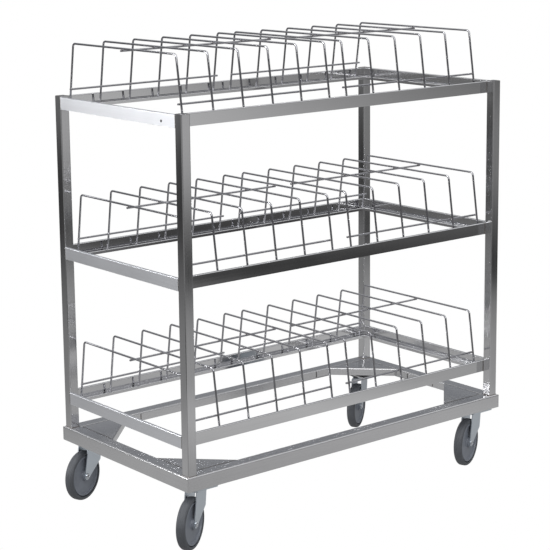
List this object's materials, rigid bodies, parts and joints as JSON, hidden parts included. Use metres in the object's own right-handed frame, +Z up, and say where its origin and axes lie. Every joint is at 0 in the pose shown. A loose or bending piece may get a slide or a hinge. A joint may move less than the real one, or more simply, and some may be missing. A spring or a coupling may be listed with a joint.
{
  "type": "dish drying trolley",
  "caption": "Wheeled steel dish drying trolley: open welded frame on swivel casters, rail shelves one above another, loose wire hoop racks on them.",
  "frame": {"origin": "on the floor, under the middle of the four posts", "axes": "+X along the long side, the front at -Y, +Z up; the front is the long side whose rails lie behind the posts"},
  "size_m": [1.0734, 0.5472, 1.1497],
  "materials": {
    "frame_steel": "brushed stainless sheet and tube",
    "rail_steel": "bright polished stainless sheet",
    "rack_wire": "bright drawn stainless wire",
    "zinc": "bright zinc plated pressing",
    "axle_steel": "zinc plated rivet",
    "wheel_plastic": "moulded grey plastic",
    "tyre_rubber": "dull grey rubber"
  },
  "bodies": {
    "frame": {"base_front_beam": "frame_steel", "base_rear_beam": "frame_steel", "base_left_beam": "frame_steel", "base_right_beam": "frame_steel", "base_gussets": "frame_steel", "caster_seats": "frame_steel", "post_rear_left": "frame_steel", "post_front_left": "frame_steel", "post_front_right": "frame_steel", "post_rear_right": "frame_steel", "post_caps": "frame_steel", "bottom_front_rail": "rail_steel", "bottom_rear_rail": "rail_steel", "bottom_left_rail": "rail_steel", "bottom_right_rail": "rail_steel", "middle_front_rail": "rail_steel", "middle_rear_rail": "rail_steel", "middle_left_rail": "rail_steel", "middle_right_rail": "rail_steel", "top_front_rail": "rail_steel", "top_rear_rail": "rail_steel", "top_left_rail": "rail_steel", "top_right_rail": "rail_steel", "caster_plates": "zinc", "caster_kingpins": "zinc"},
    "rear_left_swivel": {"caster_rear_left_fork": "zinc", "caster_rear_left_axle": "axle_steel"},
    "rear_left_wheel": {"caster_rear_left_wheel": "wheel_plastic", "caster_rear_left_tyre": "tyre_rubber"},
    "front_left_swivel": {"caster_front_left_fork": "zinc", "caster_front_left_axle": "axle_steel"},
    "front_left_wheel": {"caster_front_left_wheel": "wheel_plastic", "caster_front_left_tyre": "tyre_rubber"},
    "front_right_swivel": {"caster_front_right_fork": "zinc", "caster_front_right_axle": "axle_steel"},
    "front_right_wheel": {"caster_front_right_wheel": "wheel_plastic", "caster_front_right_tyre": "tyre_rubber"},
    "rear_right_swivel": {"caster_rear_right_fork": "zinc", "caster_rear_right_axle": "axle_steel"},
    "rear_right_wheel": {"caster_rear_right_wheel": "wheel_plastic", "caster_rear_right_tyre": "tyre_rubber"},
    "bottom_left_rack": {"bottom_left_rack_hoops_left": "rack_wire", "bottom_left_rack_hoops_right": "rack_wire", "bottom_left_rack_wires": "rack_wire"},
    "bottom_right_rack": {"bottom_right_rack_hoops_left": "rack_wire", "bottom_right_rack_hoops_right": "rack_wire", "bottom_right_rack_wires": "rack_wire"},
    "middle_left_rack": {"middle_left_rack_hoops_left": "rack_wire", "middle_left_rack_hoops_right": "rack_wire", "middle_left_rack_wires": "rack_wire"},
    "middle_right_rack": {"middle_right_rack_hoops_left": "rack_wire", "middle_right_rack_hoops_right": "rack_wire", "middle_right_rack_wires": "rack_wire"},
    "top_left_rack": {"top_left_rack_hoops_left": "rack_wire", "top_left_rack_hoops_right": "rack_wire", "top_left_rack_wires": "rack_wire"},
    "top_right_rack": {"top_right_rack_hoops_left": "rack_wire", "top_right_rack_hoops_right": "rack_wire", "top_right_rack_wires": "rack_wire"}
  },
  "joints": [
    {"name": "rear_left_swivel_turn", "type": "hinge", "parent": "frame", "child": "rear_left_swivel", "pos_m": [-0.459, 0.2225, 0.146], "axis": [0, 0, 1], "continuous": true},
    {"name": "rear_left_wheel_spin", "type": "hinge", "parent": "rear_left_swivel", "child": "rear_left_wheel", "pos_m": [-0.49821, 0.20745, 0.0625], "axis": [-0.3584, 0.9336, 0], "continuous": true},
    {"name": "front_left_swivel_turn", "type": "hinge", "parent": "frame", "child": "front_left_swivel", "pos_m": [-0.459, -0.2225, 0.146], "axis": [0, 0, 1], "continuous": true},
    {"name": "front_left_wheel_spin", "type": "hinge", "parent": "front_left_swivel", "child": "front_left_wheel", "pos_m": [-0.49537, -0.2435, 0.0625], "axis": [-0.5, 0.866, 0], "continuous": true},
    {"name": "front_right_swivel_turn", "type": "hinge", "parent": "frame", "child": "front_right_swivel", "pos_m": [0.459, -0.2225, 0.146], "axis": [0, 0, 1], "continuous": true},
    {"name": "front_right_wheel_spin", "type": "hinge", "parent": "front_right_swivel", "child": "front_right_wheel", "pos_m": [0.42006, -0.23823, 0.0625], "axis": [-0.3746, 0.9272, 0], "continuous": true},
    {"name": "rear_right_swivel_turn", "type": "hinge", "parent": "frame", "child": "rear_right_swivel", "pos_m": [0.459, 0.2225, 0.146], "axis": [0, 0, 1], "continuous": true},
    {"name": "rear_right_wheel_spin", "type": "hinge", "parent": "rear_right_swivel", "child": "rear_right_wheel", "pos_m": [0.42338, 0.20024, 0.0625], "axis": [-0.5299, 0.848, 0], "continuous": true},
    {"name": "bottom_left_rack_lift", "type": "slide", "parent": "frame", "child": "bottom_left_rack", "axis": [0, 0, 1], "range_m": [0, 0.2]},
    {"name": "bottom_right_rack_lift", "type": "slide", "parent": "frame", "child": "bottom_right_rack", "axis": [0, 0, 1], "range_m": [0, 0.2]},
    {"name": "middle_left_rack_lift", "type": "slide", "parent": "frame", "child": "middle_left_rack", "axis": [0, 0, 1], "range_m": [0, 0.2]},
    {"name": "middle_right_rack_lift", "type": "slide", "parent": "frame", "child": "middle_right_rack", "axis": [0, 0, 1], "range_m": [0, 0.2]},
    {"name": "top_left_rack_lift", "type": "slide", "parent": "frame", "child": "top_left_rack", "axis": [0, 0, 1], "range_m": [0, 0.25]},
    {"name": "top_right_rack_lift", "type": "slide", "parent": "frame", "child": "top_right_rack", "axis": [0, 0, 1], "range_m": [0, 0.25]}
  ]
}
